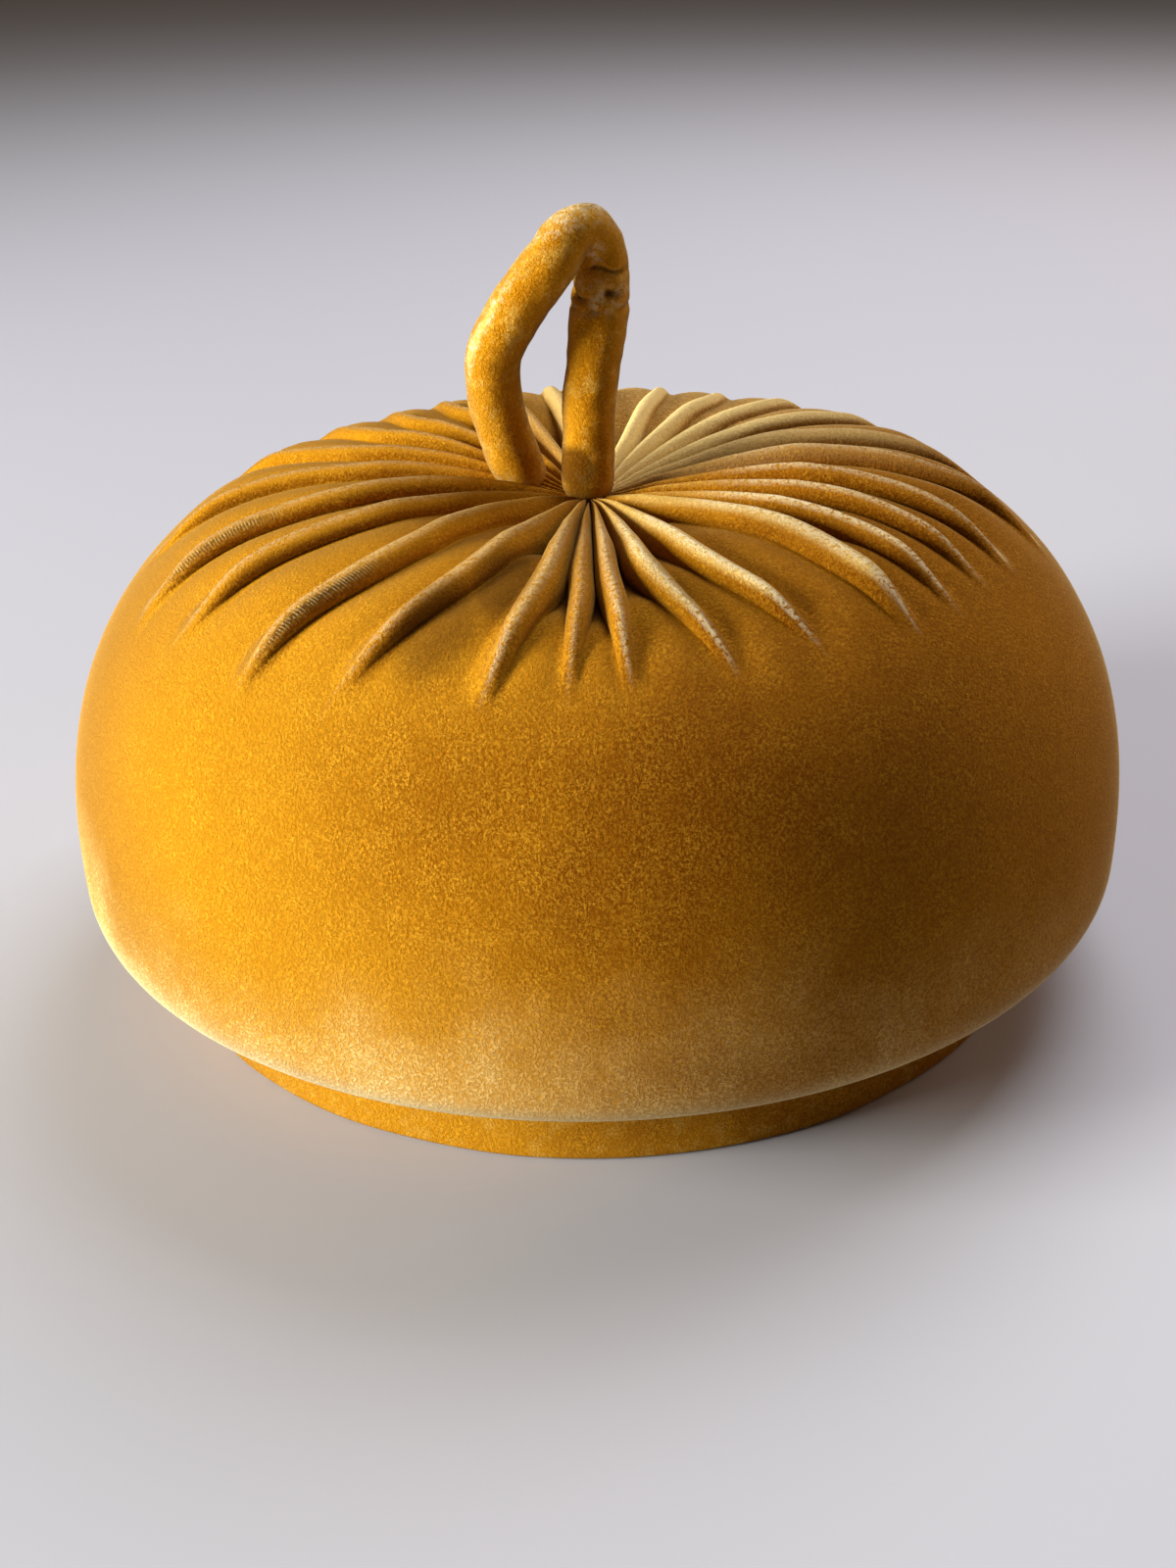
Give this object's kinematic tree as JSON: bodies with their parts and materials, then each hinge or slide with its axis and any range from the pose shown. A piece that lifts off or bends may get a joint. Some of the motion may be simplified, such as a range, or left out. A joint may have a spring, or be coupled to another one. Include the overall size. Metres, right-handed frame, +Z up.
{
  "type": "turban hat",
  "caption": "Puffed velvet turban hat: a low, wide crown gathered in radial pleats at the top, rolled under onto a plain rim band, with a stuffed stem loop on the gather.",
  "frame": {"origin": "Centre of the hat's footprint, on the plane of the band's lower edge that the hat rests on.", "axes": "+X along the head's length, the hat's longest side. +Y from the side with the widest spread front pleats to the opposite side. +Z up, from the head opening to the stem loop."},
  "size_m": [0.24, 0.2232, 0.1684],
  "materials": {
    "crown_velvet": "golden mustard silk-look velvet, short dense pile with a pale sheen at grazing angles",
    "band_velvet": "the same golden velvet, a little duller, with a fuzzy lower edge",
    "stem_velvet": "the same golden velvet, worn pale along its crest and creased at the bend"
  },
  "bodies": {
    "root": {"crown": "crown_velvet", "rim_band": "band_velvet", "stem_loop": "stem_velvet"}
  },
  "joints": []
}
